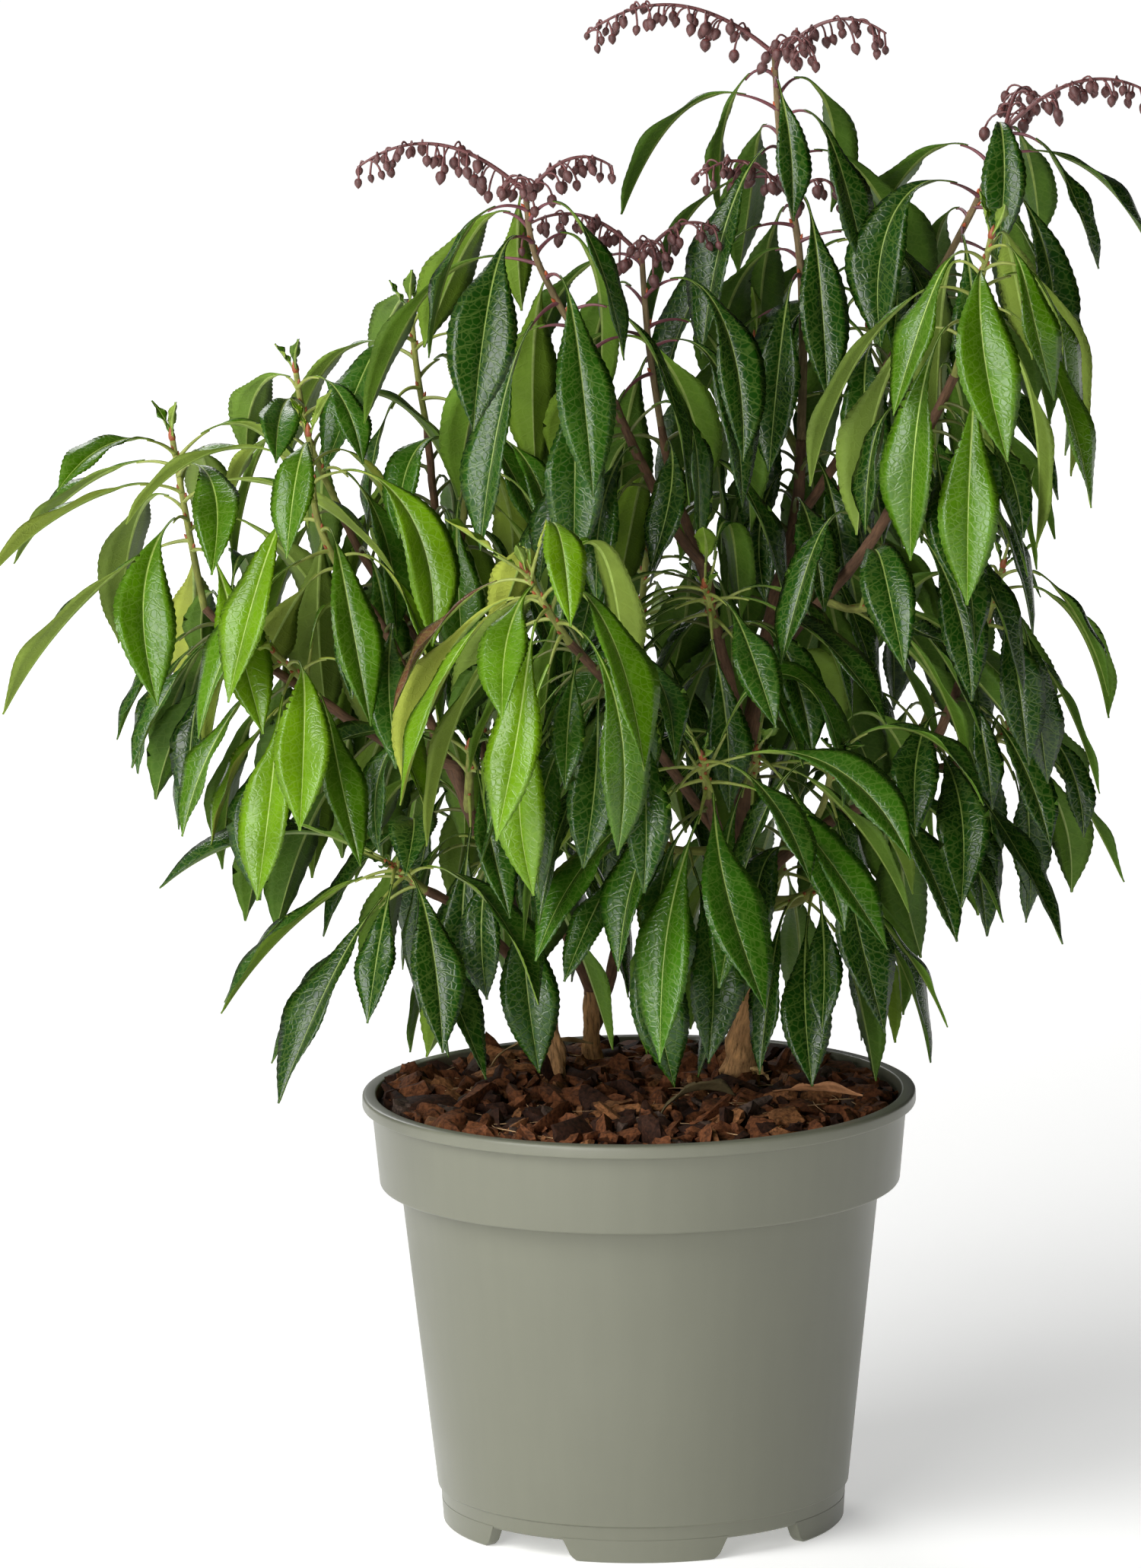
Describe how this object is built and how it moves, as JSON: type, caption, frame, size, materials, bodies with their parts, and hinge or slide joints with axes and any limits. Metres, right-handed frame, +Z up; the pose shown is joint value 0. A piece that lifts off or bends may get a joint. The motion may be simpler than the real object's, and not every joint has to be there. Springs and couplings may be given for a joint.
{
  "type": "pieris shrub",
  "caption": "Evergreen pieris shrub with drooping glossy leaves and arching sprays of closed buds, in a grey-green plastic nursery pot.",
  "frame": {"origin": "centre of the pot's flat underside, on the ground", "axes": "+Z up along the pot's axis, -Y towards the front that the picture shows, +X to the right in that view"},
  "size_m": [0.404, 0.3018, 0.5254],
  "materials": {
    "pot_plastic": "satin grey-green moulded plastic",
    "mulch": "rough reddish-brown bark chips on peat",
    "bark": "rough light brown bark",
    "foliage_bright": "glossy yellow-green leaves",
    "foliage_mid": "glossy mid-green leaves",
    "foliage_dark": "glossy dark green leaves"
  },
  "bodies": {
    "root": {"pot": "pot_plastic", "root_ball": "mulch", "trunk_left": "bark", "trunk_middle": "bark", "trunk_right": "bark", "bough_left": "bark", "bough_far_left": "bark", "bough_left_front": "bark", "bough_low_left": "bark", "bough_back_left": "bark", "bough_upper_left": "bark", "bough_inner_left": "bark", "bough_back": "bark", "bough_right_leader": "bark", "bough_centre": "bark", "bough_front_bud": "bark", "bough_mid_bud": "bark", "bough_front": "bark", "bough_front_left": "bark", "bough_right": "bark", "bough_far_right": "bark", "bough_low_right": "bark", "bough_right_edge": "bark", "bough_back_right": "bark", "foliage_front": "foliage_mid", "foliage_front_left": "foliage_bright", "foliage_low_left": "foliage_dark", "foliage_low_middle": "foliage_dark", "foliage_low_front": "foliage_dark", "foliage_left_whorl": "foliage_dark", "foliage_inner_front": "foliage_mid", "foliage_front_right": "foliage_dark", "foliage_low_right": "foliage_dark", "foliage_top": "foliage_dark", "foliage_right_bud": "foliage_dark", "foliage_front_bud": "foliage_dark", "foliage_mid_bud": "foliage_dark", "foliage_far_left": "foliage_bright", "foliage_left_front": "foliage_bright", "foliage_upper_left": "foliage_mid", "foliage_back_left_top": "foliage_mid", "foliage_inner_left": "foliage_mid", "foliage_left_low_front": "foliage_bright", "foliage_centre_whorl": "foliage_dark", "foliage_right": "foliage_bright", "foliage_fork_right": "foliage_dark", "foliage_right_low": "foliage_dark", "foliage_right_edge": "foliage_dark", "foliage_back_right": "foliage_dark", "foliage_back_right_side": "foliage_dark", "foliage_back_right_low": "foliage_dark", "foliage_top_back": "foliage_dark", "foliage_back": "foliage_dark", "foliage_back_side": "foliage_dark", "foliage_inner_back": "foliage_dark", "foliage_back_left": "foliage_dark", "foliage_low_back_left": "foliage_dark", "foliage_low_back_right": "foliage_dark"}
  },
  "joints": []
}
